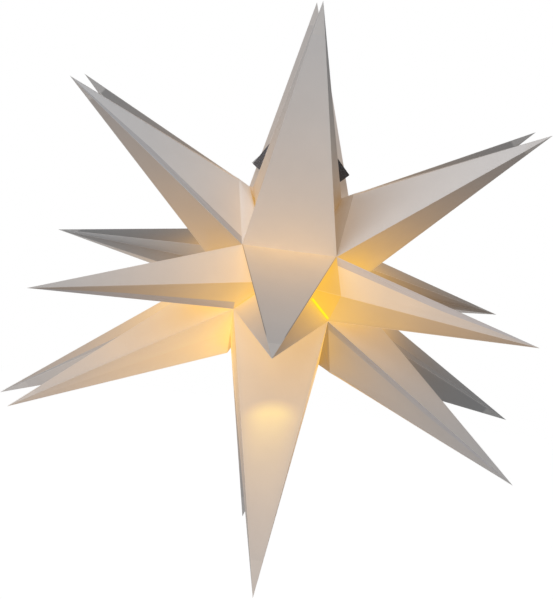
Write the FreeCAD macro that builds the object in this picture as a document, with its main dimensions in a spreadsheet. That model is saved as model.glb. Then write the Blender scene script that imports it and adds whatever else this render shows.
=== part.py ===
import FreeCAD, Part
import Sketcher
import math
import os
from FreeCAD import Vector

# A hanging star lantern of 18 folded sheet spikes, 600 mm from tip to tip, millimetres.
# The origin is the top of the cable gland, on the vertical axis; the star hangs below it.
# X runs along the fold axis, -Y is the front and Z is up.

doc = FreeCAD.newDocument("StarPendant")

# ---------------------------------------------------------------- driving dimensions
SIZES = [
    # star body: rows fold about the X axis, angles are measured from the front, upwards
    ("tip_radius", 300), ("side_tip_offset", 210), ("side_tip_radius", 165),
    ("core_radius", 75), ("core_half", 41), ("pole_half", 70), ("pole_radius", 35),
    ("front_row_up", 24), ("front_row_down", 20), ("rear_row_up", 24), ("rear_row_down", 24),
    ("gusset_half", 42), ("pole_gusset_half", 21),
    # sheet: wall, weld flange turned into the core, depth of the closed point of a spike
    ("wall", 0.6), ("flange_depth", 8.6), ("point_depth", 4),
    # closure tongues: two plies of sheet with hook and loop pads between them
    ("tongue_inner", 13), ("tongue_outer", 32), ("tongue_corner_out", 41.5),
    ("tongue_corner_up", 21), ("tongue_width", 28), ("tongue_angle", 40), ("ply", 0.5),
    ("pad_length", 13), ("pad_margin", 1), ("pad_thick", 1.2), ("pad_gap", 0.1),
    ("tongue_rise", 0.3), ("seat_gap", 0.05),
    # cable gland, levels below the origin
    ("cable_bore", 3.5), ("seam_depth", 31), ("nut_top_wall", 3.5), ("nut_radius", 10),
    ("nut_length", 11.6), ("nut_dome", 3), ("gland_flats", 20), ("gland_flange", 5),
    ("gland_flange_depth", 12), ("stub_radius", 7.5), ("stub_bore", 5), ("stub_top", 4),
    ("tube_radius", 6), ("tube_end", 52), ("gland_hole", 6.3), ("thread_fit", 0.05),
    ("washer_radius", 11), ("washer_thick", 1.5), ("locknut_flats", 19),
    ("locknut_thick", 4),
    # lampholder, levels below the locknut
    ("cap_gap", 0.3), ("cap_neck", 9), ("cap_neck_length", 3.5), ("cap_dome", 8),
    ("cap_radius", 20), ("cap_length", 20), ("cap_wall", 2), ("body_neck_length", 5),
    ("body_collar", 4), ("body_radius", 17), ("body_bore", 14.1), ("body_length", 30),
    ("body_ledge", 1.5), ("insert_thick", 6), ("insert_fit", 0.05), ("rivet_radius", 2),
    ("leaf_length", 12), ("leaf_width", 5), ("leaf_thick", 0.5), ("contact_drop", 1.8),
    ("shell_wall", 0.4), ("shell_length", 23), ("ring_radius", 21), ("ring_thick", 6),
    ("ring_drop", 20), ("ring_chamfer", 1.2),
    ("terminal_spread", 8), ("terminal_head", 2.6), ("terminal_rise", 2.4),
    ("terminal_slot", 0.8), ("terminal_slot_depth", 1),
    # lamp
    ("thread_crest", 13.1), ("thread_root", 12.2), ("thread_pitch", 3.62),
    ("thread_play", 0.2), ("thread_turns", 4), ("lamp_gap", 0.1), ("tip_radius_lamp", 4.8),
    ("tip_thick", 1.6), ("lamp_insulator", 2.8), ("lamp_cap_wall", 0.4),
    ("lamp_cap_length", 21), ("collar_insert", 3), ("collar_wall", 1.5),
    ("collar_length", 14), ("collar_radius", 19), ("globe_radius", 22.5),
    ("globe_wall", 1), ("board_radius", 14), ("board_thick", 1.6), ("board_seat", 3),
    ("emitter_ring", 9), ("emitter_size", 2.8), ("emitter_thick", 0.8), ("emitter_count", 8),
]

# how far each point of the real, slightly bent star stands off its nominal place (x, z)
LEANS = {
    "front_left": (0, -20), "front_middle": (-5, -25), "front_right": (0, -10),
    "top_front_left": (10, 15), "top_front_middle": (0, -5), "top_front_right": (-5, 20),
    "top_rear_left": (10, 10), "top_rear_middle": (0, -10), "top_rear_right": (0, 10),
    "rear_left": (0, -5), "rear_middle": (0, 0), "rear_right": (-5, -30),
    "bottom_rear_left": (-35, -15), "bottom_rear_middle": (-5, -5),
    "bottom_rear_right": (15, 25), "bottom_front_left": (-10, 5),
    "bottom_front_middle": (5, 0), "bottom_front_right": (5, -5),
}
for spike_name, offset in LEANS.items():
    SIZES.append(("lean_x_" + spike_name, offset[0]))
    SIZES.append(("lean_z_" + spike_name, offset[1]))

sheet = doc.addObject("Spreadsheet::Sheet", "Dims")
for line, entry in enumerate(SIZES, start=1):
    sheet.set("A%d" % line, entry[0])
    sheet.set("B%d" % line, str(entry[1]))
    sheet.setAlias("B%d" % line, entry[0])
doc.recompute()


def size(name):
    """The number held by a named cell of the sheet."""
    return float(getattr(sheet, name))


# levels used by several pieces, as expressions of the named cells
SEAM = "(-Dims.seam_depth)"
LIP = "(Dims.wall*cos((90+Dims.front_row_up)/2)+Dims.seat_gap)"
FLANGE_END = "(-Dims.seam_depth-Dims.flange_depth-" + LIP + ")"
LOCKNUT_TOP = "(" + FLANGE_END + "-Dims.washer_thick)"
CAP_TOP = "(" + LOCKNUT_TOP + "-Dims.locknut_thick-Dims.cap_gap)"
CAP_END = "(" + CAP_TOP + "-Dims.cap_length)"
BODY_TOP = "(" + CAP_END + "+Dims.body_neck_length)"
BODY_END = "(" + CAP_END + "-Dims.body_length)"
INSERT_TOP = "(" + BODY_TOP + "-Dims.body_ledge)"
INSERT_END = "(" + INSERT_TOP + "-Dims.insert_thick)"
CONTACT_END = "(" + INSERT_END + "-Dims.leaf_thick-Dims.contact_drop)"
LAMP_TOP = "(" + CONTACT_END + "-Dims.lamp_gap)"
LAMP_CAP_TOP = "(" + LAMP_TOP + "-Dims.tip_thick-Dims.lamp_insulator)"
LAMP_CAP_END = "(" + LAMP_CAP_TOP + "-Dims.lamp_cap_length)"
COLLAR_END = "(" + LAMP_CAP_END + "-Dims.collar_length)"

pieces = []


def keep(item, label):
    """Names a finished sub-part and puts it on the list of pieces."""
    item.Label = label
    pieces.append(item)
    return item


# ---------------------------------------------------------------- ways of making a piece
def bound_sketch(body, role, points):
    """A closed outline in one of the body's planes, each corner tied to two expressions."""
    sketch = body.newObject("Sketcher::SketchObject", body.Name + "Outline")
    plane = [item for item in body.Origin.OriginFeatures if item.Role == role][0]
    sketch.AttachmentSupport = [(plane, "")]
    sketch.MapMode = "FlatFace"
    count = len(points)
    rough = []
    for corner in range(count):
        turn = 2 * math.pi * corner / count
        rough.append(Vector(20 + 10 * math.cos(turn), 10 * math.sin(turn), 0))
    for corner in range(count):
        line = Part.LineSegment(rough[corner], rough[(corner + 1) % count])
        sketch.addGeometry(line, False)
    for corner in range(count):
        after = (corner + 1) % count
        sketch.addConstraint(Sketcher.Constraint("Coincident", corner, 2, after, 1))
    for corner, pair in enumerate(points):
        for kind, text in zip(("DistanceX", "DistanceY"), pair):
            start = rough[corner].x if kind == "DistanceX" else rough[corner].y
            rule = Sketcher.Constraint(kind, -1, 1, corner, 1, start)
            number = sketch.addConstraint(rule)
            sketch.setExpression("Constraints[%d]" % number, text)
    return sketch


def turned(label, points):
    """A piece turned about the vertical axis from an outline of (radius, level) corners."""
    body = doc.addObject("PartDesign::Body", label)
    sketch = bound_sketch(body, "XZ_Plane", points)
    turn = body.newObject("PartDesign::Revolution", label + "Turn")
    turn.Profile = sketch
    turn.ReferenceAxis = (sketch, ["V_Axis"])
    turn.Angle = 360
    body.Tip = turn
    return keep(body, label)


def plate(label, points, thickness, rear_face):
    """A flat plate in an XZ plane; its rear face stands at the level rear_face along Y."""
    body = doc.addObject("PartDesign::Body", label)
    sketch = bound_sketch(body, "XZ_Plane", points)
    pad = body.newObject("PartDesign::Pad", label + "Pad")
    pad.Profile = sketch
    pad.Length = 1
    pad.setExpression("Length", thickness)
    body.Tip = pad
    body.setExpression(".Placement.Base.y", rear_face)
    return keep(body, label)


def cylinder(name, radius, height, level):
    """An upright cylinder on the axis, its lower end at the given level."""
    item = doc.addObject("Part::Cylinder", name)
    item.setExpression("Radius", radius)
    item.setExpression("Height", height)
    item.setExpression(".Placement.Base.z", level)
    return item


def hexagon(name, flats, height, level):
    """An upright hexagonal prism on the axis, measured across its flats."""
    item = doc.addObject("Part::Prism", name)
    item.Polygon = 6
    item.setExpression("Circumradius", "(" + flats + ")/2/cos(30)")
    item.setExpression("Height", height)
    item.setExpression(".Placement.Base.z", level)
    return item


def cut(name, base, tool):
    item = doc.addObject("Part::Cut", name)
    item.Base = base
    item.Tool = tool
    return item


def fuse(name, first, second):
    item = doc.addObject("Part::Fuse", name)
    item.Base = first
    item.Tool = second
    return item


def settled(label, shape, level=0.0):
    """A sub-part whose shape is worked out from the sheet, set at a level on the axis."""
    item = doc.addObject("Part::Feature", label)
    item.Shape = shape
    item.Placement = FreeCAD.Placement(Vector(0, 0, level), FreeCAD.Rotation())
    return keep(item, label)


# ---------------------------------------------------------------- star geometry
def polar(along, radius, angle):
    """A point at a distance along the fold axis, on the ray of a row angle."""
    turn = math.radians(angle)
    return Vector(along, -radius * math.cos(turn), radius * math.sin(turn))


def row_edges():
    """The six rows and the two angles that each one spans."""
    front_up = size("front_row_up")
    front_down = -size("front_row_down")
    rear_up = 180 - size("rear_row_up")
    rear_down = 180 + size("rear_row_down")
    return {
        "front": (front_down, front_up, 0.0),
        "top_front": (front_up, 90.0, (front_up + 90) / 2),
        "top_rear": (90.0, rear_up, (90 + rear_up) / 2),
        "rear": (rear_up, rear_down, 180.0),
        "bottom_rear": (rear_down, 270.0, (rear_down + 270) / 2),
        "bottom_front": (270.0, 360 + front_down, (270 + 360 + front_down) / 2),
    }


def crease_offset(half_width, radius, half_span):
    """How far a gusset's crease stands off a row's end, from the gusset's own width."""
    chord = radius * math.sin(math.radians(half_span))
    return math.sqrt(max(half_width ** 2 - chord ** 2, 0.0))


def spike_base(row, column):
    """The base corners of one spike, in order round it, and its point."""
    low, high, aim = row_edges()[row]
    half_span = (high - low) / 2
    middle = (high + low) / 2
    core = size("core_radius")
    half = size("core_half")
    flat = core * math.cos(math.radians(half_span))
    inner = crease_offset(size("gusset_half"), core, half_span)
    name = row + "_" + {-1: "left", 0: "middle", 1: "right"}[column]
    lean = Vector(size("lean_x_" + name), 0, size("lean_z_" + name))
    if column == 0:
        corners = [
            polar(-half, core, low), polar(half, core, low),
            polar(half - inner, flat, middle), polar(half, core, high),
            polar(-half, core, high), polar(inner - half, flat, middle),
        ]
        return corners, polar(0, size("tip_radius"), aim) + lean
    pole = size("pole_radius")
    end = size("pole_half")
    pole_flat = pole * math.cos(math.radians(half_span))
    outer = crease_offset(size("pole_gusset_half"), pole, half_span)
    corners = [
        polar(column * half, core, low), polar(column * end, pole, low),
        polar(column * (end - outer), pole_flat, middle), polar(column * end, pole, high),
        polar(column * half, core, high), polar(column * (half - inner), flat, middle),
    ]
    point = polar(column * size("side_tip_offset"), size("side_tip_radius"), aim) + lean
    return corners, point


def triangle(first, second, third):
    return Part.Face(Part.makePolygon([first, second, third, first]))


def strip(low_first, low_second, high_second, high_first):
    """Two triangles that close the gap between two edges of sheet."""
    return [triangle(low_first, low_second, high_second),
            triangle(low_first, high_second, high_first)]


def inward(corners, point):
    """Directions that move each corner into the sheet side of both its edges."""
    centre = Vector(0, 0, 0)
    for corner in corners:
        centre = centre + corner
    centre = centre.multiply(1.0 / len(corners))
    out = (point - centre).normalize()
    turns = []
    for index, corner in enumerate(corners):
        before = (corner - corners[index - 1]).normalize()
        after = (corners[(index + 1) % len(corners)] - corner).normalize()
        normals = []
        for edge in (before, after):
            normal = out.cross(edge).normalize()
            normals.append(normal)
        both = normals[0] + normals[1]
        turns.append(both.multiply(1.0 / (1.0 + normals[0].dot(normals[1]))))
    side = turns[0].dot(centre - corners[0])
    if side < 0:
        turns = [turn.multiply(-1.0) for turn in turns]
    return centre, turns


def spike_shell(row, column):
    """One spike: flat outer walls, the same walls a sheet's thickness inside, and flanges."""
    corners, point = spike_base(row, column)
    centre, turns = inward(corners, point)
    wall = size("wall")
    share = 1.0 - size("flange_depth") / size("core_radius")
    ends = [corner * share for corner in corners]
    inner = [corner + turn * wall for corner, turn in zip(corners, turns)]
    inner_ends = [corner + turn * wall for corner, turn in zip(ends, turns)]
    back = (centre - point).normalize()
    inner_point = point + back * size("point_depth")
    faces = []
    for index in range(len(corners)):
        after = (index + 1) % len(corners)
        faces.append(triangle(corners[index], corners[after], point))
        faces.append(triangle(inner[index], inner[after], inner_point))
        faces += strip(corners[index], corners[after], ends[after], ends[index])
        faces += strip(inner[index], inner[after], inner_ends[after], inner_ends[index])
        faces += strip(ends[index], ends[after], inner_ends[after], inner_ends[index])
    solid = Part.makeSolid(Part.makeShell(faces))
    if solid.Volume < 0:
        solid.reverse()
    return solid.removeSplitter()


def valley_slope():
    """Rise of the walls on each side of the top seam, per millimetre away from it."""
    point = spike_base("top_front", 0)[1]
    return (point.z - size("core_radius")) / -point.y


def build_spikes():
    """18 spikes; the two beside the top seam share a round hole for the gland."""
    centre_level = -(size("seam_depth") + size("core_radius"))
    reach = size("core_radius")
    hole = Part.makeCylinder(size("gland_hole"), reach, Vector(0, 0, reach / 2))
    for row in row_edges():
        for column, side in ((-1, "left"), (0, "middle"), (1, "right")):
            shape = spike_shell(row, column)
            if column == 0 and row in ("top_front", "top_rear"):
                shape = shape.cut(hole)
            settled("spike_" + row + "_" + side, shape, centre_level)


build_spikes()

# ---------------------------------------------------------------- closure tongues
def tongue_points(side, root):
    """Outline of a tongue: a root on the seam and a turned end that carries the pad."""
    reach = "(%d)*" % side
    cos = "cos(Dims.tongue_angle)"
    sin = "sin(Dims.tongue_angle)"
    tan = "tan(Dims.tongue_angle)"
    out = "Dims.tongue_corner_out"
    up = SEAM + "+Dims.tongue_corner_up"
    top_out = "(" + out + "-Dims.tongue_width*" + sin + ")"
    top_up = "(" + up + "+Dims.tongue_width*" + cos + ")"
    neck = up + "-(" + out + "-Dims.tongue_outer)*" + tan
    brow = top_up + "-(" + top_out + "-Dims.tongue_inner)*" + tan
    return [
        (reach + "Dims.tongue_inner", root), (reach + "Dims.tongue_outer", root),
        (reach + "Dims.tongue_outer", neck), (reach + out, up),
        (reach + top_out, top_up), (reach + "Dims.tongue_inner", brow),
    ]


def pad_points(side):
    """Outline of a hook or loop pad at the turned end of a tongue."""
    reach = "(%d)*" % side
    cos = "cos(Dims.tongue_angle)"
    sin = "sin(Dims.tongue_angle)"
    corners = []
    for along, across in ((0, 0), (0, 1), (1, 1), (1, 0)):
        run = "(Dims.pad_margin+%d*Dims.pad_length)" % along
        rise = "(Dims.pad_margin+%d*(Dims.tongue_width-2*Dims.pad_margin))" % across
        x_text = reach + "(Dims.tongue_corner_out-" + run + "*" + cos + "-" + rise + "*" + sin + ")"
        z_text = SEAM + "+Dims.tongue_corner_up-" + run + "*" + sin + "+" + rise + "*" + cos
        corners.append((x_text, z_text))
    return corners


def build_closure():
    """Front plies stay on the front rows; rear plies peel away from them."""
    edge = "(Dims.pad_gap/2+Dims.pad_thick+Dims.ply)"
    slope = "%.5f" % valley_slope()
    seat = SEAM + "+" + slope + "*" + edge + "+Dims.seat_gap"
    for side, word in ((-1, "left"), (1, "right")):
        inner = "(Dims.pad_gap/2+Dims.pad_thick)"
        plate("closure_ply_front_" + word, tongue_points(side, seat), "Dims.ply", "-" + inner)
        plate("closure_loop_pad_" + word, pad_points(side), "Dims.pad_thick", "-Dims.pad_gap/2")
        plate("closure_hook_pad_" + word, pad_points(side), "Dims.pad_thick", inner)
        risen = seat + "+Dims.tongue_rise"
        plate("closure_ply_rear_" + word, tongue_points(side, risen), "Dims.ply", edge)


build_closure()


# ---------------------------------------------------------------- cable gland
def build_gland():
    """Dome nut, seal, body with its hexagon and tube, saddle, washer and locknut."""
    bore = "Dims.cable_bore"
    nut_end = "(-Dims.nut_length)"
    cavity = "Dims.stub_radius+Dims.thread_fit"
    turned("gland_dome_nut", [
        (bore, "Dims.nut_dome*0"), ("Dims.nut_radius-Dims.nut_dome", "Dims.nut_dome*0"),
        ("Dims.nut_radius", "-Dims.nut_dome"), ("Dims.nut_radius", nut_end),
        (cavity, nut_end), (cavity, "-Dims.nut_top_wall"), (bore, "-Dims.nut_top_wall"),
    ])
    flange_top = "(-Dims.gland_flange_depth)"
    flange_end = "(" + flange_top + "-Dims.gland_flange)"
    turned("gland_seal", [
        (bore, "-Dims.stub_top"), ("Dims.stub_bore-Dims.thread_fit", "-Dims.stub_top"),
        ("Dims.stub_bore-Dims.thread_fit", flange_top), (bore, flange_top),
    ])
    hexa = hexagon("GlandHexagon", "Dims.gland_flats", "Dims.gland_flange", flange_end)
    stub = cylinder("GlandStub", "Dims.stub_radius",
                    "Dims.gland_flange_depth-Dims.stub_top", flange_top)
    tube = cylinder("GlandTube", "Dims.tube_radius",
                    "Dims.tube_end-Dims.gland_flange_depth-Dims.gland_flange", "-Dims.tube_end")
    solid = fuse("GlandSolid", fuse("GlandHead", hexa, stub), tube)
    through = cylinder("GlandBore", bore, "Dims.tube_end", "-Dims.tube_end")
    pocket = cylinder("GlandPocket", "Dims.stub_bore",
                      "Dims.gland_flange_depth", flange_top)
    keep(cut("GlandBody", cut("GlandDrilled", solid, through), pocket), "gland_body")
    turned("gland_washer", [
        ("Dims.tube_radius+Dims.thread_fit", FLANGE_END), ("Dims.washer_radius", FLANGE_END),
        ("Dims.washer_radius", LOCKNUT_TOP), ("Dims.tube_radius+Dims.thread_fit", LOCKNUT_TOP),
    ])
    nut = hexagon("LocknutBlank", "Dims.locknut_flats", "Dims.locknut_thick",
                  LOCKNUT_TOP + "-Dims.locknut_thick")
    drill = cylinder("LocknutBore", "Dims.tube_radius+Dims.thread_fit",
                     "Dims.locknut_thick", LOCKNUT_TOP + "-Dims.locknut_thick")
    keep(cut("Locknut", nut, drill), "gland_locknut")


def build_saddle():
    """A rubber washer, flat on top, whose underside sits in the valley of the seam."""
    seam = -size("seam_depth")
    top = -(size("gland_flange_depth") + size("gland_flange"))
    radius = size("washer_radius")
    bore = size("tube_radius") + size("thread_fit")
    round_blank = Part.makeCylinder(radius, top - seam, Vector(0, 0, seam))
    round_blank = round_blank.cut(Part.makeCylinder(bore, top - seam, Vector(0, 0, seam)))
    wide = 2 * radius
    low = seam + size("seat_gap")
    rise = low + valley_slope() * wide
    valley = Part.Face(Part.makePolygon([
        Vector(-wide, 0, low), Vector(-wide, wide, rise), Vector(-wide, wide, seam - wide),
        Vector(-wide, -wide, seam - wide), Vector(-wide, -wide, rise), Vector(-wide, 0, low)]))
    settled("gland_saddle", round_blank.cut(valley.extrude(Vector(2 * wide, 0, 0))))


build_gland()
build_saddle()


# ---------------------------------------------------------------- lampholder
def build_holder():
    """Cap on the gland's tube, body with its insert, threaded shell and clamp ring."""
    tube = "Dims.tube_radius+Dims.thread_fit"
    neck_end = CAP_TOP + "-Dims.cap_neck_length"
    dome_end = CAP_TOP + "-Dims.cap_dome-Dims.cap_neck_length"
    skirt = "Dims.cap_radius-Dims.cap_wall"
    turned("holder_cap", [
        (tube, CAP_TOP), ("Dims.cap_neck", CAP_TOP), ("Dims.cap_neck", neck_end),
        ("(Dims.cap_neck+3*Dims.cap_radius)/4", neck_end + "-Dims.cap_dome*0.4"),
        ("Dims.cap_radius", dome_end), ("Dims.cap_radius", CAP_END), (skirt, CAP_END),
        (skirt, dome_end + "-Dims.cap_wall/4"),
        ("(Dims.cap_neck+3*Dims.cap_radius)/4-Dims.cap_wall",
         neck_end + "-Dims.cap_dome*0.4-Dims.cap_wall"),
        ("Dims.cap_neck-Dims.cap_wall/2", neck_end + "-Dims.cap_wall"),
        (tube, neck_end + "-Dims.cap_wall"),
    ])
    inside = "Dims.cap_radius-Dims.cap_wall-Dims.thread_fit"
    taper = CAP_END + "-Dims.body_collar"
    bore = "Dims.body_bore"
    turned("holder_body", [
        (bore + "-Dims.cap_wall", BODY_TOP), (inside, BODY_TOP), (inside, CAP_END),
        ("Dims.cap_radius", CAP_END), ("Dims.cap_radius", taper),
        ("Dims.body_radius", taper + "-(Dims.cap_radius-Dims.body_radius)"),
        ("Dims.body_radius", BODY_END), (bore, BODY_END), (bore, INSERT_TOP),
        (bore + "-Dims.cap_wall", INSERT_TOP),
    ])
    disc = bore + "-Dims.insert_fit"
    turned("holder_insert", [
        ("Dims.rivet_radius", INSERT_TOP), (disc, INSERT_TOP), (disc, INSERT_END),
        ("Dims.rivet_radius", INSERT_END),
    ])
    ring_top = CAP_END + "-Dims.ring_drop+Dims.ring_thick"
    ring_end = CAP_END + "-Dims.ring_drop"
    turned("holder_clamp_ring", [
        ("Dims.body_radius+Dims.thread_fit", ring_top),
        ("Dims.ring_radius-Dims.ring_chamfer", ring_top),
        ("Dims.ring_radius", ring_top + "-Dims.ring_chamfer"),
        ("Dims.ring_radius", ring_end + "+Dims.ring_chamfer"),
        ("Dims.ring_radius-Dims.ring_chamfer", ring_end),
        ("Dims.body_radius+Dims.thread_fit", ring_end),
    ])


def build_contact():
    """A rivet through the insert with a sprung leaf and a pip that meets the lamp."""
    leaf_end = INSERT_END + "-Dims.leaf_thick"
    rivet = cylinder("ContactRivet", "Dims.rivet_radius",
                     "Dims.insert_thick+Dims.leaf_thick", leaf_end)
    leaf = doc.addObject("Part::Box", "ContactLeaf")
    leaf.setExpression("Length", "Dims.leaf_length")
    leaf.setExpression("Width", "Dims.leaf_width")
    leaf.setExpression("Height", "Dims.leaf_thick")
    leaf.setExpression(".Placement.Base.x", "-Dims.leaf_length/2")
    leaf.setExpression(".Placement.Base.y", "-Dims.leaf_width/2")
    leaf.setExpression(".Placement.Base.z", leaf_end)
    pip = doc.addObject("Part::Cone", "ContactPip")
    pip.setExpression("Radius1", "Dims.rivet_radius/2")
    pip.setExpression("Radius2", "Dims.rivet_radius")
    pip.setExpression("Height", "Dims.contact_drop")
    pip.setExpression(".Placement.Base.z", CONTACT_END)
    keep(fuse("Contact", fuse("ContactStrip", rivet, leaf), pip), "holder_centre_contact")


def insert_level():
    """Level of the insert's top as a number."""
    lip = size("wall") * math.cos(math.radians((90 + size("front_row_up")) / 2))
    stack = ("seam_depth", "flange_depth", "seat_gap", "washer_thick", "locknut_thick",
             "cap_gap", "cap_length", "body_ledge")
    return size("body_neck_length") - lip - sum(size(name) for name in stack)


def build_terminals():
    """Two slotted screws on the insert, one each side of the rivet, as one group."""
    rise = size("terminal_rise")
    slot = size("terminal_slot")
    head = size("terminal_head")
    blank = Part.makeCylinder(head, rise)
    tool = Part.makeBox(2 * head, slot, rise)
    tool.translate(Vector(-head, -slot / 2, rise - size("terminal_slot_depth")))
    screw = blank.cut(tool)
    pair = []
    for side in (-1, 1):
        one = screw.copy()
        one.translate(Vector(side * size("terminal_spread"), 0, 0))
        pair.append(one)
    settled("holder_terminal_screws", Part.makeCompound(pair), insert_level())


def thread_corners(crest, root, top, turns):
    """Thread ridges down a sleeve as (radius, level) corners."""
    corners = []
    for turn in range(turns):
        base = top + "-%d*Dims.thread_pitch" % turn
        corners.append((root, base))
        corners.append((root, base + "-Dims.thread_pitch*0.15"))
        corners.append((crest, base + "-Dims.thread_pitch*0.4"))
        corners.append((crest, base + "-Dims.thread_pitch*0.6"))
        corners.append((root, base + "-Dims.thread_pitch*0.85"))
    return corners


def build_screw_shell():
    """The brass thread of the holder: an outer and an inner skin one wall apart."""
    turns = int(size("thread_turns")) + 1
    top = INSERT_END
    end = INSERT_END + "-Dims.shell_length"
    first = LAMP_CAP_TOP + "+Dims.thread_pitch"
    play = "+Dims.thread_play"
    skin = "+Dims.thread_play+Dims.shell_wall"
    inner = thread_corners("Dims.thread_crest" + play, "Dims.thread_root" + play, first, turns)
    outer = thread_corners("Dims.thread_crest" + skin, "Dims.thread_root" + skin, first, turns)
    points = [("Dims.thread_root" + play, top)] + inner + [("Dims.thread_root" + play, end)]
    points += [("Dims.thread_root" + skin, end)] + outer[::-1]
    points += [("Dims.thread_root" + skin, top)]
    turned("holder_screw_shell", points)


build_holder()
build_contact()
build_terminals()
build_screw_shell()


# ---------------------------------------------------------------- lamp
def build_lamp():
    """Tip, insulator, threaded cap, collar, globe and the board that carries the light."""
    zero = "Dims.tip_thick*0"
    turned("lamp_tip_contact", [
        (zero, LAMP_TOP), ("Dims.tip_radius_lamp*0.6", LAMP_TOP),
        ("Dims.tip_radius_lamp", LAMP_TOP + "-Dims.tip_thick*0.7"),
        ("Dims.tip_radius_lamp", LAMP_TOP + "-Dims.tip_thick"), (zero, LAMP_TOP + "-Dims.tip_thick"),
    ])
    throat = "Dims.thread_root-Dims.lamp_cap_wall"
    turned("lamp_insulator", [
        (zero, LAMP_TOP + "-Dims.tip_thick"), ("Dims.tip_radius_lamp", LAMP_TOP + "-Dims.tip_thick"),
        (throat, LAMP_CAP_TOP), (throat, LAMP_CAP_TOP + "-Dims.tip_thick"),
        (zero, LAMP_CAP_TOP + "-Dims.tip_thick"),
    ])
    turns = int(size("thread_turns"))
    outer = thread_corners("Dims.thread_crest", "Dims.thread_root", LAMP_CAP_TOP, turns)
    inner = thread_corners("Dims.thread_crest-Dims.lamp_cap_wall",
                           "Dims.thread_root-Dims.lamp_cap_wall", LAMP_CAP_TOP, turns)
    turned("lamp_screw_cap", outer + [
        ("Dims.thread_root", LAMP_CAP_END), ("Dims.thread_root-Dims.lamp_cap_wall", LAMP_CAP_END)]
        + inner[::-1])
    seat = "Dims.thread_root-Dims.lamp_cap_wall-Dims.thread_fit"
    wall = "Dims.collar_wall"
    turned("lamp_collar", [
        (seat, LAMP_CAP_END + "+Dims.collar_insert"), (seat, LAMP_CAP_END),
        ("Dims.thread_crest", LAMP_CAP_END), ("Dims.collar_radius", COLLAR_END),
        ("Dims.collar_radius-" + wall, COLLAR_END),
        ("Dims.thread_crest-" + wall + "*1.5", LAMP_CAP_END + "-" + wall),
        (seat + "-" + wall, LAMP_CAP_END + "-" + wall),
        (seat + "-" + wall, LAMP_CAP_END + "+Dims.collar_insert"),
    ])
    build_globe()
    build_board()


def lamp_levels():
    """Levels of the collar's end and the globe's centre, as numbers."""
    stack = ("insert_thick", "leaf_thick", "contact_drop", "lamp_gap", "tip_thick",
             "lamp_insulator", "lamp_cap_length", "collar_length")
    collar_end = insert_level() - sum(size(name) for name in stack)
    reach = math.sqrt(size("globe_radius") ** 2 - size("collar_radius") ** 2)
    return collar_end, collar_end - reach


def build_globe():
    """A hollow ball, open where it sits on the collar."""
    collar_end, centre = lamp_levels()
    radius = size("globe_radius")
    ball = Part.makeSphere(radius).cut(Part.makeSphere(radius - size("globe_wall")))
    lid = Part.makeCylinder(2 * radius, radius, Vector(0, 0, collar_end - centre))
    settled("lamp_globe", ball.cut(lid), centre)


def build_board():
    """A round board with a ring of small emitters, held inside the collar."""
    collar_end = lamp_levels()[0]
    board = Part.makeCylinder(size("board_radius"), size("board_thick"))
    side = size("emitter_size")
    count = int(size("emitter_count"))
    for index in range(count):
        chip = Part.makeBox(side, side, size("emitter_thick"))
        chip.translate(Vector(size("emitter_ring") - side / 2, -side / 2, -size("emitter_thick")))
        chip.rotate(Vector(0, 0, 0), Vector(0, 0, 1), 360.0 * index / count)
        board = board.fuse(chip)
    settled("lamp_board", board, collar_end + size("board_seat"))


build_lamp()


# ---------------------------------------------------------------- check and write
def write_pieces():
    doc.recompute()
    for item in doc.Objects:
        if "Invalid" in item.State or "Error" in item.State:
            raise RuntimeError("not computed: " + item.Label)
    for item in pieces:
        if item.Shape.isNull() or not item.Shape.isValid():
            raise RuntimeError("bad shape: " + item.Label)
    os.makedirs("parts", exist_ok=True)
    for item in pieces:
        item.Shape.exportStep("parts/" + item.Label + ".step")
        print(item.Label, len(item.Shape.Solids), round(item.Shape.Volume, 1))
    print(len(pieces), "pieces")


write_pieces()
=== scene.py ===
import math

import bmesh
import bpy
from mathutils import Matrix, Vector


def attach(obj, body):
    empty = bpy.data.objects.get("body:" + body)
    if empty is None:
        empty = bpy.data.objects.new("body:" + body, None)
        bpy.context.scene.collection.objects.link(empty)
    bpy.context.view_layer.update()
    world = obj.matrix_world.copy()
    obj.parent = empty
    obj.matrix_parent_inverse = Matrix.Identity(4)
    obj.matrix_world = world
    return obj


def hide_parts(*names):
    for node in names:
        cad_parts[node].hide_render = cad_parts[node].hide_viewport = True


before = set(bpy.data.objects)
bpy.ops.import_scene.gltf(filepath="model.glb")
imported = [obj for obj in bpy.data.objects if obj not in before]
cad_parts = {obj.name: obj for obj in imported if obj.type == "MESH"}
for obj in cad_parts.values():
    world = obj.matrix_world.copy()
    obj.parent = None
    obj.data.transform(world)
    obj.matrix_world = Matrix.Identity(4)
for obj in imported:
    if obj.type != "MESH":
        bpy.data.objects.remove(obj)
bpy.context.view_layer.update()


# ---------------------------------------------------------------------------
# Star sheet: thin white translucent polypropylene, die-cut, creased and glued
# into 18 hollow spikes in six rows of three. Each row folds flat at its gussets.
# The lamp inside warms the sheet near the core; the tips stay cool and grey.
# ---------------------------------------------------------------------------

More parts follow.
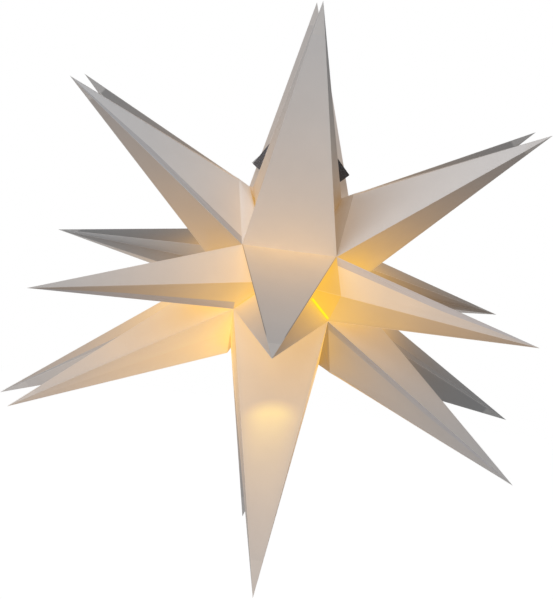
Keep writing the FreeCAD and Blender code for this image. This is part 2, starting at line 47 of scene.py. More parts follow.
class Socket:
    """A shader value that can be written in expressions; each operator adds its Math node."""

    def __init__(self, tree, link=None):
        self.tree = tree
        self.link = link

    def add(self, kind, settings=None, values=None, output=0):
        """Any node: its settings first, then the values or links of its sockets."""
        node = self.tree.nodes.new(kind)
        for name, setting in (settings or {}).items():
            setattr(node, name, setting)
        for name, value in (values or {}).items():
            if isinstance(value, Socket):
                self.tree.links.new(value.link, node.inputs[name])
            else:
                node.inputs[name].default_value = value
        return Socket(self.tree, node.outputs[output])

    def maths(self, operation, first, second=0.0):
        return self.add("ShaderNodeMath", {"operation": operation}, {0: first, 1: second})

    def __add__(self, other):
        return self.maths("ADD", self, other)

    def __radd__(self, other):
        return self.maths("ADD", other, self)

    def __sub__(self, other):
        return self.maths("SUBTRACT", self, other)

    def __rsub__(self, other):
        return self.maths("SUBTRACT", other, self)

    def __mul__(self, other):
        return self.maths("MULTIPLY", self, other)

    def __rmul__(self, other):
        return self.maths("MULTIPLY", other, self)

    def __truediv__(self, other):
        return self.maths("DIVIDE", self, other)

    def __rtruediv__(self, other):
        return self.maths("DIVIDE", other, self)

    def exponent(self):
        return self.maths("EXPONENT", self)

    def size(self):
        """The value without its sign."""
        return self.maths("ABSOLUTE", self)

    def vector(self, operation, other=(0, 0, 0), output=0):
        """Vector Math with another place or direction; output 1 is the number it gives."""
        settings = {"operation": operation}
        return self.add("ShaderNodeVectorMath", settings, {0: self, 1: other}, output)

    def scaled(self, amount):
        """A colour made stronger or weaker by a value."""
        return self.add("ShaderNodeVectorMath", {"operation": "SCALE"}, {0: self, "Scale": amount})

    def parts(self):
        """A place as its three numbers: across, deep and high."""
        first = self.add("ShaderNodeSeparateXYZ", None, {0: self})
        return [Socket(self.tree, output) for output in first.link.node.outputs]

    def ramp(self, start, end):
        """0 before start, 1 after end, smooth between; start may be the larger one."""
        low, high, first, last = (start, end, 0.0, 1.0) if start < end else (end, start, 1.0, 0.0)
        values = {"Value": self, "From Min": low, "From Max": high, "To Min": first, "To Max": last}
        return self.add("ShaderNodeMapRange", {"interpolation_type": "SMOOTHSTEP"}, values)

    def blend(self, first, second):
        """A colour between two colours, with this value as the share of the second."""
        settings = {"data_type": "RGBA", "clamp_factor": True}
        return self.add("ShaderNodeMix", settings, {0: self, 6: first, 7: second}, 2)

    def noise(self, scale, detail=2.0, roughness=0.5):
        values = {"Vector": self, "Scale": scale, "Detail": detail, "Roughness": roughness}
        return self.add("ShaderNodeTexNoise", None, values)

    def stretched(self, high):
        """A place whose patterns are stretched or squeezed in height."""
        return self.add("ShaderNodeMapping", None, {"Vector": self, "Scale": (1.0, 1.0, high)})

    def mark(self, name):
        """A number that the mesh carries under this name."""
        return self.add("ShaderNodeAttribute", {"attribute_name": name}, None, 2)

    def bump(self, strength, distance):
        """A normal from this height; the distance in metres is how far a height of 1 stands up."""
        values = {"Height": self, "Strength": strength, "Distance": distance}
        return self.add("ShaderNodeBump", None, values)


def new_finish(name):
    """A node material: returns it, its shader node and the place on the piece."""
    material = bpy.data.materials.new(name)
    material.use_nodes = True
    tree = material.node_tree
    place = Socket(tree).add("ShaderNodeTexCoord", None, None, "Object")
    return material, tree.nodes["Principled BSDF"], place


def feed(shader, **values):
    """Sets or links shader sockets; an underscore in a name stands for a space."""
    for name, value in values.items():
        socket = shader.inputs[name.replace("_", " ")]
        if isinstance(value, Socket):
            value.tree.links.new(value.link, socket)
        else:
            socket.default_value = value


def new_piece(name, bm, material):
    """Makes a finished mesh an object at the origin, with its finish."""
    mesh = bpy.data.meshes.new(name)
    bm.to_mesh(mesh)
    bm.free()
    mesh.materials.append(material)
    piece = bpy.data.objects.new(name, mesh)
    bpy.context.scene.collection.objects.link(piece)
    return piece


# what each face is marked with for the sheet's finish, and each corner of a face
MARKS = ("double_ply", "base_shade", "lamp_face", "edge", "tone", "warmth", "reach")
GAPS = ("ridge_gap", "crease_gap")

# the sheet's colours: skin with its clouds and grain, two plies, painted shade on base facets, pale
# creases that are partly stress whitening and partly painted highlight, and a rim of painted shade
SKIN = (0.428, 0.434, 0.448, 1)
SKIN_PALE = (0.466, 0.472, 0.484, 1)
SKIN_GRAIN = (0.434, 0.438, 0.446, 1)
TWO_PLIES = (0.49, 0.49, 0.525, 1)
BASE_FACET_SHADE = (0.13, 0.095, 0.070, 1)
STRESS_AND_HIGHLIGHT_PALE = (0.66, 0.65, 0.64, 1)
SHADE_RIM_DARK = (0.11, 0.12, 0.14, 1)

# the lamp's light through the sheet: far off, near, in its own image, and bare at a seam
GLOW_FAR = (1.0, 0.50, 0.13, 1)
GLOW_NEAR = (1.0, 0.55, 0.05, 1)
GLOW_IMAGE = (1.0, 0.66, 0.08, 1)
GLOW_BARE = (1.0, 0.80, 0.0, 1)

LAMP_CENTRE = Vector((0, 0, -0.122))
WARMTH_DISTANCE = 0.1
TWO_PLIES_HOLD_BACK = 0.58

# the lamp's image on the spike under it, a painted pool of its light, in metres
IMAGE_ACROSS = 0.002
IMAGE_HALF_WIDTH = 0.026
IMAGE_TOP = -0.2015
IMAGE_SLANT = 0.13
IMAGE_ARCH = 0.007
IMAGE_FADE = 0.030
IMAGE_STRENGTH = 0.52

# where bare light leaks past a seam: its two ends, the side it shows on and its half width
LEAK_FROM = Vector((0.0246, -0.0736, -0.1131))
LEAK_TO = Vector((0.0414, -0.0730, -0.1297))
LEAK_FACES = Vector((0.05, -1.0, 0.11))
LEAK_HALF_WIDTH = 0.0013
LEAK_STRENGTH = 1.05


def lamp_image(across, high, lamp_face):
    """The lamp's own image on the sheet below it, a painted pool of its light: an arched top edge
    that fades downwards.
    """
    aside = (across - IMAGE_ACROSS) / IMAGE_HALF_WIDTH
    below = across * IMAGE_SLANT + IMAGE_TOP - aside * aside * IMAGE_ARCH - high
    image = below.ramp(-0.003, 0.012) * (below / -IMAGE_FADE).exponent()
    return image * aside.size().ramp(1.25, 0.15) * lamp_face


def seam_leak(place, deep):
    """A thin line of bare light where two sheets part beside the front spike."""
    line = LEAK_TO - LEAK_FROM
    thin = line.cross(LEAK_FACES).normalized()
    off = place.vector("SUBTRACT", tuple(LEAK_FROM))
    beside = off.vector("DOT_PRODUCT", tuple(thin), 1)
    run = off.vector("DOT_PRODUCT", tuple(line / line.length_squared), 1)
    leak = beside.size().ramp(LEAK_HALF_WIDTH, LEAK_HALF_WIDTH * 0.5)
    leak = leak * run.ramp(-0.02, 0.06) * run.ramp(1.02, 0.94)
    return leak * deep.ramp(-0.060, -0.064) * deep.ramp(-0.090, -0.084)


def star_sheet_finish():
    """Lit sheet: cool grey skin, warm glow round the core, greyer where it is double."""
    material, shader, place = new_finish("star_sheet_lit")
    mark = {name: place.mark(name) for name in MARKS + GAPS}
    far = place.vector("SUBTRACT", tuple(LAMP_CENTRE)).vector("LENGTH", output=1)
    across, deep, high = place.parts()
    cloud = place.noise(26.0, 3.0, 0.55)
    grain = place.noise(900.0, 2.0, 0.6)
    streak = place.stretched(0.12).noise(240.0, 2.0, 0.5)

    # the lamp shows through less and less away from the core, and less through two plies
    fall = ((WARMTH_DISTANCE - far) / mark["reach"]).exponent()
    through = 1.0 - mark["double_ply"] * TWO_PLIES_HOLD_BACK
    warm = mark["warmth"] * fall * through * (cloud * 0.24 + 0.88)
    warm = warm * (1.0 - mark["ridge_gap"].ramp(0.0040, 0.0) * 0.08)
    image = lamp_image(across, high, mark["lamp_face"])
    warm = warm + image * IMAGE_STRENGTH
    glow = (warm * 1.1).blend(GLOW_FAR, GLOW_NEAR)
    glow = (image * 0.9).blend(glow, GLOW_IMAGE)
    leak = seam_leak(place, deep)
    glow = leak.blend(glow, GLOW_BARE)
    warm = leak.maths("MAXIMUM", warm, leak * LEAK_STRENGTH)

    # pale lines along ridges and creases, partly stress whitening and partly painted highlight
    # where a rounded ridge would catch the light, and a dark rim of painted shade along the front
    # spike's ridges near its point
    ridge = mark["ridge_gap"].ramp(0.0007, 0.0001)
    crease = mark["crease_gap"].ramp(0.0006, 0.0001) * 0.6
    # painted shade: a dark line along the front spike's ridges near its point
    rim = mark["ridge_gap"].ramp(0.0011, 0.0004) * mark["edge"] * far.ramp(0.262, 0.250)
    skin = cloud.blend(SKIN, SKIN_PALE)
    # the tone mark paints each panel's light and shade into the skin
    skin = (grain * 0.30).blend(skin, SKIN_GRAIN).scaled(mark["tone"])
    skin = (mark["double_ply"] * 0.65).blend(skin, TWO_PLIES)
    # painted shade darkens the skin of the base facets in the valley beside the middle spike
    skin = (mark["base_shade"] * 0.80).blend(skin, BASE_FACET_SHADE)
    skin = ((ridge + crease) * 0.40).blend(skin, STRESS_AND_HIGHLIGHT_PALE)
    skin = (rim * 0.85).blend(skin, SHADE_RIM_DARK)
    height = grain * 0.35 + streak * 0.4 + cloud * 2.0
    feed(shader, Base_Color=skin, Roughness=cloud * 0.10 + grain * 0.05 + 0.42,
         Emission_Color=glow.scaled(warm), Emission_Strength=1.0, Specular_IOR_Level=0.30,
         IOR=1.49, Normal=height.bump(0.22, 0.0005))
    return material


SHEET_FINISH = star_sheet_finish()

STAR_CENTRE = Vector((0, 0, -0.106))
TIP_RADIUS = 0.300
SIDE_TIP_OFFSET = 0.210
SIDE_TIP_RADIUS = 0.165
CORE_RADIUS = 0.075
CORE_HALF = 0.041
GUSSET_HALF = 0.042
POLE_RADIUS = 0.035
POLE_HALF = 0.070
POLE_GUSSET_HALF = 0.021

# row name: lower edge, upper edge and aim, in degrees up from the front
ROWS = {
    "front": (-20, 24, 0), "top_front": (24, 90, 57), "top_rear": (90, 156, 123),
    "rear": (156, 204, 180), "bottom_rear": (204, 270, 237), "bottom_front": (270, 340, 305),
}
COLUMNS = {"left": -1, "middle": 0, "right": 1}

# how far each point stands off its nominal place, across and up, in millimetres
LEANS = {
    "front_left": (-2, -18), "front_middle": (-7.8, -29), "front_right": (3.5, -12),
    "top_front_left": (6.4, 17), "top_front_middle": (-2.2, -5), "top_front_right": (-2.4, 21),
    "top_rear_left": (6.5, 11.3), "top_rear_middle": (0, -10), "top_rear_right": (3.5, 13),
    "rear_left": (-5, -4), "rear_middle": (0, 0), "rear_right": (0, -30),
    "bottom_rear_left": (-35, -15), "bottom_rear_middle": (-5, -5),
    "bottom_rear_right": (15, 21), "bottom_front_left": (-12, 4),
    "bottom_front_middle": (6, -4.6), "bottom_front_right": (6.7, -7.5),
}

# base corners of the middle spikes that stand off across, in metres
BASE_SHIFTS = {"top_front": {4: 0.0035}, "top_rear": {1: 0.007},
               "bottom_front": {0: 0.0035}, "bottom_rear": {4: 0.0035}}


def ray(across, radius, angle):
    """A point beside the fold axis, on the ray of a row angle, in the star's own place."""
    turn = math.radians(angle)
    return Vector((across, -radius * math.cos(turn), radius * math.sin(turn)))


def crease_offset(half_width, radius, half_span):
    """How far a gusset crease lies in from its ridges, from the gusset's half width."""
    chord = radius * math.sin(half_span)
    return math.sqrt(max(half_width ** 2 - chord ** 2, 0.0))


def spike_corners(row, side):
    """Six base corners of a spike and its point; corners 2 and 5 are gusset creases."""
    low, high, aim = ROWS[row]
    half_span = math.radians((high - low) / 2)
    middle = (high + low) / 2
    flat = CORE_RADIUS * math.cos(half_span)
    inner = crease_offset(GUSSET_HALF, CORE_RADIUS, half_span)
    column = COLUMNS[side]
    across, up = LEANS[row + "_" + side]
    lean = Vector((across, 0, up)) / 1000
    half = CORE_HALF
    if column == 0:
        corners = [ray(-half, CORE_RADIUS, low), ray(half, CORE_RADIUS, low),
                   ray(half - inner, flat, middle), ray(half, CORE_RADIUS, high),
                   ray(-half, CORE_RADIUS, high), ray(inner - half, flat, middle)]
        for number, shift in BASE_SHIFTS.get(row, {}).items():
            corners[number].x += shift
        return corners, ray(0, TIP_RADIUS, aim) + lean
    pole_flat = POLE_RADIUS * math.cos(half_span)
    outer = crease_offset(POLE_GUSSET_HALF, POLE_RADIUS, half_span)
    corners = [ray(column * half, CORE_RADIUS, low), ray(column * POLE_HALF, POLE_RADIUS, low),
               ray(column * (POLE_HALF - outer), pole_flat, middle),
               ray(column * POLE_HALF, POLE_RADIUS, high),
               ray(column * half, CORE_RADIUS, high),
               ray(column * (half - inner), flat, middle)]
    return corners, ray(column * SIDE_TIP_OFFSET, SIDE_TIP_RADIUS, aim) + lean


# panels that the photograph shows, numbered from the lower row face: the sheet's tone, a factor on
# the skin that paints each panel lighter or darker for the light and shade it gets, how strongly
# the lamp shows through at WARMTH_DISTANCE, and over how many metres that fades
LOOK = {
    "top_front_middle": {0: (1.40, 0.24, 0.099), 1: (0.73, 0.19, 0.050), 2: (0.73, 0.19, 0.050),
                         4: (0.90, 0.29, 0.078), 5: (0.90, 0.29, 0.078)},
    "top_front_left": {0: (0.78, 0.31, 0.086), 4: (1.82, 0.14, 0.065), 5: (1.82, 0.14, 0.065)},
    "top_front_right": {0: (0.66, 0.55, 0.061), 4: (1.64, 0.14, 0.167), 5: (1.64, 0.14, 0.167)},
    "rear_left": {0: (0.31, 0.33, 0.030), 1: (0.93, 0.16, 0.038), 2: (0.54, 0.22, 0.052)},
    "front_middle": {1: (0.75, 0.56, 0.136), 2: (0.75, 0.56, 0.136), 3: (1.11, 0.39, 0.088),
                     4: (1.05, 0.45, 0.117), 5: (1.05, 0.45, 0.117)},
    "front_left": {4: (1.37, 0.38, 0.080), 5: (0.64, 0.57, 0.080)},
    "front_right": {4: (1.06, 0.62, 0.095), 5: (0.52, 0.69, 0.111)},
    "rear_right": {0: (0.24, 0.45, 0.059), 1: (0.60, 0.45, 0.065), 2: (0.60, 0.45, 0.065)},
    "bottom_rear_left": {1: (0.83, 0.76, 0.086), 3: (1.15, 0.36, 0.100)},
    "bottom_front_left": {3: (1.22, 0.61, 0.103), 4: (1.31, 0.57, 0.133), 5: (1.27, 0.56, 0.137)},
    "bottom_front_middle": {1: (0.80, 0.56, 0.085), 2: (0.80, 0.56, 0.085), 3: (1.21, 0.46, 0.140),
                            4: (0.65, 0.52, 0.068), 5: (0.65, 0.52, 0.068)},
    "bottom_front_right": {3: (1.34, 0.35, 0.054), 4: (1.07, 0.19, 0.088),
                           5: (1.07, 0.19, 0.088)},
    "bottom_rear_right": {1: (0.86, 0.60, 0.024), 2: (0.72, 0.45, 0.022), 3: (0.72, 0.52, 0.022)},
    "top_rear_middle": {0: (1.16, 0.16, 0.167)},
    "top_rear_left": {0: (0.50, 0.26, 0.050), 4: (0.62, 0.30, 0.050), 5: (0.62, 0.30, 0.050)},
    "top_rear_right": {0: (0.62, 0.40, 0.050), 4: (0.72, 0.40, 0.050), 5: (0.72, 0.40, 0.050)},
}
USUAL_LOOK = (1.0, 0.42, 0.062)

# the upper row faces that carry the lamp's image, a painted pool of its light, and the dark rim of
# painted shade
UPPER_FACE_MARKS = {"bottom_front_middle": "lamp_face", "front_middle": "edge"}

# which row ridge of a spike has its glue flap under the gusset beside it, and how far the
# flap reaches from it at the base and half way out, in metres
GLUE_FLAPS = {
    "top_front_left": (0, 0.0095, 0.0085), "front_right": (4, 0.0085, 0.0055),
    "front_left": (0, 0.0075, 0.0050), "bottom_front_right": (4, 0.0130, 0.0100),
}
FLAP_HALF_WAY = 0.55

# small base facets of side spikes: how strongly painted shade darkens the skin there, and the glow
# against the panel
BASE_PATCHES = {
    "front_right": (1.0, 1.18), "top_front_right": (0.62, 1.15), "bottom_front_right": (1.0, 1.1),
}

# how far out the base facet ends, as a share of the way to the point
USUAL_KNEE = 0.15
KNEES = {"front_right": 0.19}

# side spikes whose gusset crease runs close beside this row ridge, from how far out and how close
CREASE_BESIDE = {"top_front_left": 4, "top_front_right": 4, "bottom_front_right": 0}
BESIDE_FROM = 0.060
BESIDE_GAP = 0.0015


def knee_of(name, corners, point, crease):
    """Where the crease of an inner gusset bends, at the outer end of its base facet."""
    beside = CREASE_BESIDE.get(name)
    if beside is None:
        return crease.lerp(point, KNEES.get(name, USUAL_KNEE))
    near = corners[beside].lerp(point, BESIDE_FROM)
    return near + (near - corners[4 - beside]).normalized() * BESIDE_GAP


def panels_of(name, corners, point):
    """Flat panels of one spike: (corner places, marks, ridge line, crease line)."""
    on_side = not name.endswith("_middle")
    flap, flap_foot, flap_width = GLUE_FLAPS.get(name, (None, 0.0, 0.0))
    panels = []
    for start in range(6):
        after = (start + 1) % 6
        first, second = corners[start], corners[after]
        look = dict(zip(("tone", "warmth", "reach"), LOOK.get(name, {}).get(start, USUAL_LOOK)))
        if start in (0, 3):
            if start == 3 and name in UPPER_FACE_MARKS:
                look[UPPER_FACE_MARKS[name]] = 1.0
            panels.append(([first, second, point], look, None, None))
            continue
        crease_first = start in (2, 5)
        crease, ridge = (first, second) if crease_first else (second, first)
        has_flap = flap == (after if crease_first else start)
        knee = crease
        facet = []
        if on_side and start in (4, 5):
            knee = knee_of(name, corners, point, crease)
            dark, gain = BASE_PATCHES.get(name, (0.0, 1.0))
            facet_marks = {"base_shade": dark, "warmth": look["warmth"] * gain}
            facet = [([ridge, crease, knee], facet_marks)]
        if has_flap:
            along = (point - ridge).normalized()
            off = (knee - ridge) - along * (knee - ridge).dot(along)
            foot = ridge + (knee - ridge).normalized() * flap_foot
            edge = ridge.lerp(point, FLAP_HALF_WAY) + off.normalized() * flap_width
            if facet:
                facet = [([ridge, crease, foot], facet_marks), ([foot, crease, knee], facet_marks)]
            two_plies = {"double_ply": 1.0}
            gusset = [([ridge, foot, edge], two_plies), ([ridge, edge, point], two_plies),
                      ([foot, knee, edge], {}), ([edge, knee, point], {})]
        else:
            gusset = [([ridge, knee, point], {})]
        for places, marks in facet + gusset:
            places = places[::-1] if crease_first else places
            panels.append((places, dict(look, **marks), ridge, knee))
    return panels


SHEET = 0.0006
MERGE_DISTANCE = 0.00005
PANEL_CUTS = 7

# how far a panel bows at its middle, outwards or, below zero, inwards
MIDDLE_BOW = -0.0006
SIDE_BOW = 0.0005
BOW_PEAK = 27

# the glued flanges along the base edges, and a distance from any ridge that shows no line
FLANGE_DEPTH = 0.0086
FLANGE_MARKS = {"double_ply": 1.0, "tone": 1.0, "warmth": 0.6, "reach": 0.06}
NO_LINE = 0.02

# the walls thin out over this length before the point, down to this share
THIN_LENGTH = 0.10
THIN_SHARE = 0.12


def line_gap(place, first, second):
    """Distance of a point from the line through two others."""
    along = (second - first).normalized()
    return ((place - first) - along * (place - first).dot(along)).length


def lay_panels(bm, panels, layers):
    """The flat panels as marked faces, joined along their edges."""
    for number, (places, given, ridge, crease) in enumerate(panels):
        face = bm.faces.new([bm.verts.new(place) for place in places])
        face[layers["panel"]] = number
        for mark, amount in given.items():
            face[layers[mark]] = amount
    bmesh.ops.remove_doubles(bm, verts=bm.verts, dist=MERGE_DISTANCE)
    bmesh.ops.recalc_face_normals(bm, faces=bm.faces)


def bow_panels(bm, panels, layers, bow):
    """Each panel bows a little between its creases, as thin sheet does."""
    lifts = {}
    for face in bm.faces:
        places = panels[face[layers["panel"]]][0]
        normal = (places[1] - places[0]).cross(places[2] - places[0])
        area = normal.length
        normal.normalize()
        if normal.dot(face.normal) < 0:
            normal.negate()
        for corner in face.verts:
            share = BOW_PEAK
            for index in range(3):
                start, end = [places[other] for other in range(3) if other != index]
                share *= (start - corner.co).cross(end - corner.co).length / area
            lifts[corner] = normal * share
    for corner, lift in lifts.items():
        corner.co += lift * bow


def mark_gaps(bm, panels, layers, corners, point):
    """Marks how far each place is from the nearest ridge and from its crease."""
    for face in bm.faces:
        ridge, crease = panels[face[layers["panel"]]][2:]
        for loop in face.loops:
            place = loop.vert.co
            gaps = [line_gap(place, corners[index], point) for index in (0, 1, 3, 4)]
            loop[layers["ridge_gap"]] = min(gaps)
            loop[layers["crease_gap"]] = line_gap(place, crease, point) if crease else NO_LINE


def turn_flanges(bm, layers):
    """Turns the glued flanges along the base edges into the core."""
    rim = [edge for edge in bm.edges if len(edge.link_faces) == 1]
    for item in bmesh.ops.extrude_edge_only(bm, edges=rim)["geom"]:
        if isinstance(item, bmesh.types.BMVert):
            item.co *= 1.0 - FLANGE_DEPTH / CORE_RADIUS
        elif isinstance(item, bmesh.types.BMFace):
            for mark in MARKS:
                item[layers[mark]] = FLANGE_MARKS.get(mark, 0.0)
            for loop in item.loops:
                for gap in GAPS:
                    loop[layers[gap]] = NO_LINE


def fold_spike(row, side):
    """One hollow spike of sheet with its flanges turned into the core."""
    name = row + "_" + side
    corners, point = spike_corners(row, side)
    panels = panels_of(name, corners, point)
    bm = bmesh.new()
    layers = {mark: bm.faces.layers.float.new(mark) for mark in MARKS}
    layers.update({gap: bm.loops.layers.float.new(gap) for gap in GAPS})
    layers["panel"] = bm.faces.layers.int.new("panel")
    lay_panels(bm, panels, layers)
    within = (sum(corners, Vector()) / 6).lerp(point, 0.2)
    if bm.faces[0].normal.dot(bm.faces[0].calc_center_median() - within) < 0:
        bmesh.ops.reverse_faces(bm, faces=bm.faces)
    bmesh.ops.subdivide_edges(bm, edges=bm.edges, cuts=PANEL_CUTS, use_grid_fill=True)
    bow_panels(bm, panels, layers, MIDDLE_BOW if side == "middle" else SIDE_BOW)
    mark_gaps(bm, panels, layers, corners, point)
    turn_flanges(bm, layers)
    bmesh.ops.recalc_face_normals(bm, faces=bm.faces)
    if bm.calc_volume(signed=True) < 0:
        bmesh.ops.reverse_faces(bm, faces=bm.faces)
    bmesh.ops.translate(bm, verts=bm.verts, vec=STAR_CENTRE)

    # the walls thin out towards the point, where they would meet through each other
    piece = new_piece("sheet_" + name, bm, SHEET_FINISH)
    wall = piece.vertex_groups.new(name="wall")
    for corner in piece.data.vertices:
        away = (corner.co - STAR_CENTRE - point).length
        wall.add([corner.index], min(1.0, THIN_SHARE + away / THIN_LENGTH), "REPLACE")
    ply = piece.modifiers.new("ply", "SOLIDIFY")
    ply.thickness = SHEET
    ply.offset = -1.0
    ply.use_even_offset = False
    ply.vertex_group = "wall"
    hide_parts("spike_" + name)
    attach(piece, "shade")


for row_name in ROWS:
    for side_name in COLUMNS:
        fold_spike(row_name, side_name)


# ---------------------------------------------------------------------------
# Closure: two tongues of the same sheet, welded in pairs over the top seam,
# with a dark loop pad on the front ply and a hook pad on the rear one.
# ---------------------------------------------------------------------------

def tongue_finish():
    """Unlit white sheet with faint clouds and a fine grain."""
    material, shader, place = new_finish("tongue_sheet_white")
    cloud = place.noise(60.0, 3.0, 0.5)
    grain = place.noise(1100.0, 2.0, 0.6)
    skin = cloud.blend((0.56, 0.56, 0.57, 1), (0.66, 0.66, 0.67, 1))
    feed(shader, Base_Color=skin, Roughness=cloud * 0.12 + 0.38, Specular_IOR_Level=0.4,
         Normal=(grain * 0.4 + cloud).bump(0.2, 0.0004))
    return material


def pile_finish(name, dark, pale, rows, depth):
    """Hook or loop tape: rows of tiny stiff or brushed ends that catch specks of light."""
    material, shader, place = new_finish(name)
    values = {"Vector": place, "Scale": rows, "Randomness": 0.75}
    cell = place.add("ShaderNodeTexVoronoi", {"feature": "F1"}, values)
    cloud = place.noise(160.0, 3.0, 0.65)
    speck = place.noise(1400.0, 2.0, 0.7).ramp(0.56, 0.70)
    glint = (pale[0] * 2.2, pale[1] * 2.2, pale[2] * 2.3, 1)
    tone = (cell.ramp(0.55, 0.10) * 0.5 + cloud * 0.5).blend(dark, pale)
    tone = (speck * 0.55).blend(tone, glint)
    height = cell.ramp(0.6, 0.05) + cloud * 0.5
    feed(shader, Base_Color=tone, Roughness=cloud * 0.25 + 0.45, Specular_IOR_Level=0.5,
         Normal=height.bump(0.9, depth))
    return material


TONGUE = tongue_finish()
HOOK = pile_finish("hook_tape_black", (0.012, 0.012, 0.014, 1), (0.06, 0.06, 0.066, 1),
                   700.0, 0.0006)
LOOP = pile_finish("loop_tape_grey", (0.030, 0.032, 0.038, 1), (0.21, 0.21, 0.235, 1),
                   620.0, 0.0005)

# pad corner across and up, slant of the pad's outer edge in degrees, width and finish
PADS = {
    "left": (-0.0406, -0.0109, 58.3, 0.0132, LOOP),
    "right": (0.0454, -0.0095, 133.0, 0.0172, HOOK),
}
PAD_LENGTH = 0.0262
PLY_FRONT = -0.00175
PAD_FRONT = -0.00125
PAD_REAR = -0.00005
CORNER_ROUND = 0.0006

# the front ply's inner edge beside the gland, its foot in the seam and how far out that runs
PLY_INNER = 0.0132
PLY_FOOT = -0.0289
PLY_FOOT_OUT = 0.0300


def dress(node_name, material):
    """Gives a carried-over part its finish."""
    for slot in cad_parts[node_name].material_slots:
        slot.material = material


def cut_plate(name, outline, front, rear, material):
    """A flat plate cut to an outline of (across, up) places, between two depths."""
    bm = bmesh.new()
    bm.faces.new([bm.verts.new((x, front, z)) for x, z in outline])
    bmesh.ops.bevel(bm, geom=bm.verts[:], offset=CORNER_ROUND, segments=2, profile=0.5,
                    affect="VERTICES", material=-1)
    grown = bmesh.ops.extrude_face_region(bm, geom=bm.faces[:])["geom"]
    moved = [item for item in grown if isinstance(item, bmesh.types.BMVert)]
    bmesh.ops.translate(bm, verts=moved, vec=(0, rear - front, 0))
    bmesh.ops.recalc_face_normals(bm, faces=bm.faces)
    plate = new_piece(name, bm, material)
    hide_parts("closure_" + name)
    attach(plate, "shade")


for side_name, (corner_x, corner_z, slant, width, tape) in PADS.items():
    side = COLUMNS[side_name]
    corner = Vector((corner_x, corner_z))
    up_edge = Vector((math.cos(math.radians(slant)), math.sin(math.radians(slant))))
    low_edge = Vector((up_edge.y * -side, up_edge.x * side))
    top = corner + up_edge * PAD_LENGTH
    inner_top = top + low_edge * width
    inner = corner + low_edge * width
    cut_plate("loop_pad_" + side_name, [corner, top, inner_top, inner], PAD_FRONT, PAD_REAR,
              tape)
    ply = [inner, inner_top, (side * PLY_INNER, 0.0), (side * PLY_INNER, PLY_FOOT),
           (side * PLY_FOOT_OUT, PLY_FOOT)]
    cut_plate("ply_front_" + side_name, ply, PLY_FRONT, PAD_FRONT, TONGUE)
    dress("closure_ply_rear_" + side_name, TONGUE)
    dress("closure_hook_pad_" + side_name, HOOK)


# ---------------------------------------------------------------------------
# Cable gland: black moulded nylon body, dome nut and locknut, rubber seal and
# saddle washer that sits in the valley of the seam, and a zinc plated washer.
# ---------------------------------------------------------------------------

def moulded_finish(name, tone, rough, grain_depth=0.00012):
    """Fine spark-textured moulding with slightly rubbed, paler patches."""
    material, shader, place = new_finish(name)
    grain = place.noise(1800.0, 3.0, 0.6)
    rub = place.noise(70.0, 4.0, 0.6).ramp(0.45, 0.8)
    pale = tuple(min(1.0, part * 1.35 + 0.012) for part in tone[:3]) + (1,)
    feed(shader, Base_Color=(rub * 0.5).blend(tone, pale),
         Roughness=rub * 0.12 + grain * 0.1 + rough, Specular_IOR_Level=0.45,
         Normal=grain.bump(0.5, grain_depth))
    return material


def metal_finish(name, tone, dull, rough, lines):
    """Plated or pressed metal with turning lines round the axis and dull spots."""
    material, shader, place = new_finish(name)
    line = place.stretched(lines).noise(120.0, 3.0, 0.6)
    spot = place.noise(90.0, 4.0, 0.6).ramp(0.5, 0.85)
    feed(shader, Base_Color=(spot * 0.7).blend(tone, dull), Metallic=1.0,
         Roughness=line * 0.18 + spot * 0.2 + rough, Normal=line.bump(0.25, 0.0001))
    return material


NYLON = moulded_finish("black_nylon_moulded", (0.022, 0.022, 0.025, 1), 0.40)
RUBBER = moulded_finish("black_rubber_soft", (0.028, 0.027, 0.027, 1), 0.62, 0.0002)
ZINC = metal_finish("zinc_plate", (0.62, 0.63, 0.66, 1), (0.40, 0.40, 0.42, 1), 0.22, 14.0)
dress("gland_dome_nut", NYLON)
dress("gland_body", NYLON)
dress("gland_locknut", NYLON)
dress("gland_seal", RUBBER)
dress("gland_saddle", RUBBER)
dress("gland_washer", ZINC)


# ---------------------------------------------------------------------------
# Lampholder and lamp: brass thread and contact on a glazed insert, held in the
# black body; the lamp is a white collar, a nickel cap and an opal globe.
# ---------------------------------------------------------------------------

def glazed_finish(name, tone, rough):
    """Glazed or glossy moulding with a slight waviness."""
    material, shader, place = new_finish(name)
    cloud = place.noise(110.0, 3.0, 0.5)
    pale = tuple(part * 0.9 for part in tone[:3]) + (1,)
    feed(shader, Base_Color=cloud.blend(tone, pale), Roughness=cloud * 0.08 + rough,
         Coat_Weight=0.4, Coat_Roughness=0.08, Normal=cloud.bump(0.15, 0.0004))
    return material


def globe_finish():
    """Opal plastic lit from inside: palest round the middle, deeper in colour at its lower end."""
    material, shader, place = new_finish("opal_globe_lit")
    high = place.vector("SUBTRACT", tuple(LAMP_CENTRE)).parts()[2]
    cloud = place.noise(45.0, 2.0, 0.5)
    tone = high.ramp(-0.023, 0.008).blend((1.0, 0.62, 0.22, 1), (1.0, 0.80, 0.42, 1))
    feed(shader, Base_Color=cloud.blend((0.80, 0.74, 0.62, 1), (0.86, 0.80, 0.68, 1)),
         Roughness=cloud * 0.1 + 0.22, Emission_Color=tone.scaled(cloud * 0.3 + 1.35),
         Emission_Strength=1.0)
    return material


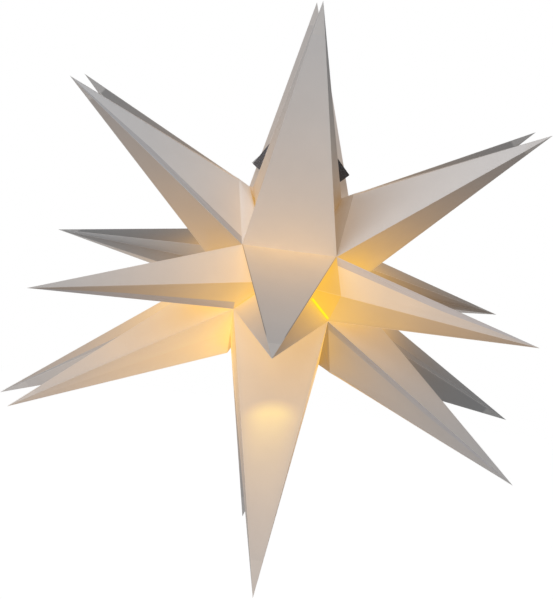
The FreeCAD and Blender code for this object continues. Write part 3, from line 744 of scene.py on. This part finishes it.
BRASS = metal_finish("pressed_brass", (0.76, 0.55, 0.24, 1), (0.42, 0.28, 0.12, 1), 0.24, 10.0)
NICKEL = metal_finish("nickel_thread", (0.70, 0.68, 0.64, 1), (0.46, 0.43, 0.38, 1), 0.20, 16.0)
dress("holder_cap", NYLON)
dress("holder_body", NYLON)
dress("holder_clamp_ring", NYLON)
dress("holder_screw_shell", BRASS)
dress("holder_centre_contact", BRASS)
dress("holder_terminal_screws", ZINC)
dress("holder_insert", glazed_finish("glazed_insert", (0.78, 0.76, 0.72, 1), 0.20))
dress("lamp_tip_contact", ZINC)
dress("lamp_insulator", glazed_finish("black_glass_insulator", (0.02, 0.02, 0.024, 1), 0.12))
dress("lamp_screw_cap", NICKEL)
dress("lamp_collar", glazed_finish("lamp_white_moulding", (0.82, 0.82, 0.81, 1), 0.28))
dress("lamp_board", glazed_finish("board_white", (0.74, 0.75, 0.72, 1), 0.35))
dress("lamp_globe", globe_finish())


# ---------------------------------------------------------------------------
# Room: a plain pale floor well under the hanging star and a pale backdrop,
# soft light from the front and left, and the camera of the photograph.
# ---------------------------------------------------------------------------

FLOOR_SIZE = 6.0
FLOOR_PLACE = (0, 2.0, -1.6)
ROOM_LIGHT = 0.26
SEEN_RAYS = ("Is Camera Ray", "Is Glossy Ray", "Is Transmission Ray")


def seen_share(start):
    """1 for what the camera sees, straight, in gloss or through glass, and else 0."""
    rays = [start.add("ShaderNodeLightPath", None, None, name) for name in SEEN_RAYS]
    return start.maths("MINIMUM", rays[0] + rays[1] + rays[2], 1.0)


def pale_floor_finish():
    """Matt white ground that reads white to the camera, to gloss and through glass."""
    material, shader, place = new_finish("pale_floor")
    feed(shader, Base_Color=(0.88, 0.88, 0.88, 1), Roughness=0.9, Specular_IOR_Level=0.1,
         Emission_Color=seen_share(place).blend((0, 0, 0, 1), (1, 1, 1, 1)),
         Emission_Strength=0.75)
    return material


bm = bmesh.new()
bmesh.ops.create_grid(bm, x_segments=1, y_segments=1, size=FLOOR_SIZE)
bmesh.ops.translate(bm, verts=bm.verts, vec=FLOOR_PLACE)
new_piece("floor", bm, pale_floor_finish())

world = bpy.data.worlds.new("room")
bpy.context.scene.world = world
world.use_nodes = True
sky = world.node_tree
feed(sky.nodes["Background"], Color=(1.0, 1.0, 1.0, 1.0),
     Strength=seen_share(Socket(sky)) * (1.0 - ROOM_LIGHT) + ROOM_LIGHT)

LIT_POINT = Vector((0, 0, -0.1))

# soft lamps: place, width, height and power in watts
SOFT_BOXES = {
    "front_soft_box": ((-1.5, -2.6, 1.1), 4.0, 3.6, 58.0),
    "top_soft_box": ((0.0, -0.2, 2.4), 2.6, 2.6, 7.0),
    "left_soft_box": ((-2.8, 0.8, -0.2), 2.4, 2.4, 5.0),
}
for box_name, (box_place, width, height, power) in SOFT_BOXES.items():
    light = bpy.data.lights.new(box_name, "AREA")
    light.shape = "RECTANGLE"
    light.size = width
    light.size_y = height
    light.energy = power
    lamp = bpy.data.objects.new(box_name, light)
    bpy.context.scene.collection.objects.link(lamp)
    lamp.location = box_place
    lamp.rotation_euler = (LIT_POINT - Vector(box_place)).to_track_quat("-Z", "Y").to_euler()
    lamp.visible_camera = False

# the photograph is taken from 2.2 m, a little above the star, which hangs tilted in it
AZIMUTH = math.radians(-1.34)
ELEVATION = math.radians(6.84)
ROLL = math.radians(7.69)
DISTANCE = 2.2215
SENSOR_WIDTH = 36.0

# in pixels: the focal length, the frame's height and centre, and where the lens axis meets it
FOCAL_PIXELS = 2503.7
FRAME_HEIGHT = 599
FRAME_CENTRE = (276.5, 299.5)
AXIS_PIXEL = (284.1, 275.9)

back = Vector((math.sin(AZIMUTH) * math.cos(ELEVATION), -math.cos(AZIMUTH) * math.cos(ELEVATION),
               math.sin(ELEVATION)))
right = Vector((math.cos(AZIMUTH), math.sin(AZIMUTH), 0))
up = back.cross(right)
turned_right = right * math.cos(ROLL) + up * math.sin(ROLL)
turned_up = up * math.cos(ROLL) - right * math.sin(ROLL)
turn = Matrix((turned_right, turned_up, back)).transposed()
camera_data = bpy.data.cameras.new("photo_camera")
camera_data.sensor_fit = "AUTO"
camera_data.sensor_width = SENSOR_WIDTH
camera_data.lens = FOCAL_PIXELS * SENSOR_WIDTH / FRAME_HEIGHT
camera_data.shift_x = (FRAME_CENTRE[0] - AXIS_PIXEL[0]) / FRAME_HEIGHT
camera_data.shift_y = (AXIS_PIXEL[1] - FRAME_CENTRE[1]) / FRAME_HEIGHT
camera_data.clip_end = 50.0
camera = bpy.data.objects.new("photo_camera", camera_data)
bpy.context.scene.collection.objects.link(camera)
camera.matrix_world = Matrix.Translation(STAR_CENTRE + back * DISTANCE) @ turn.to_4x4()
bpy.context.scene.camera = camera
bpy.context.scene.view_settings.view_transform = "Standard"
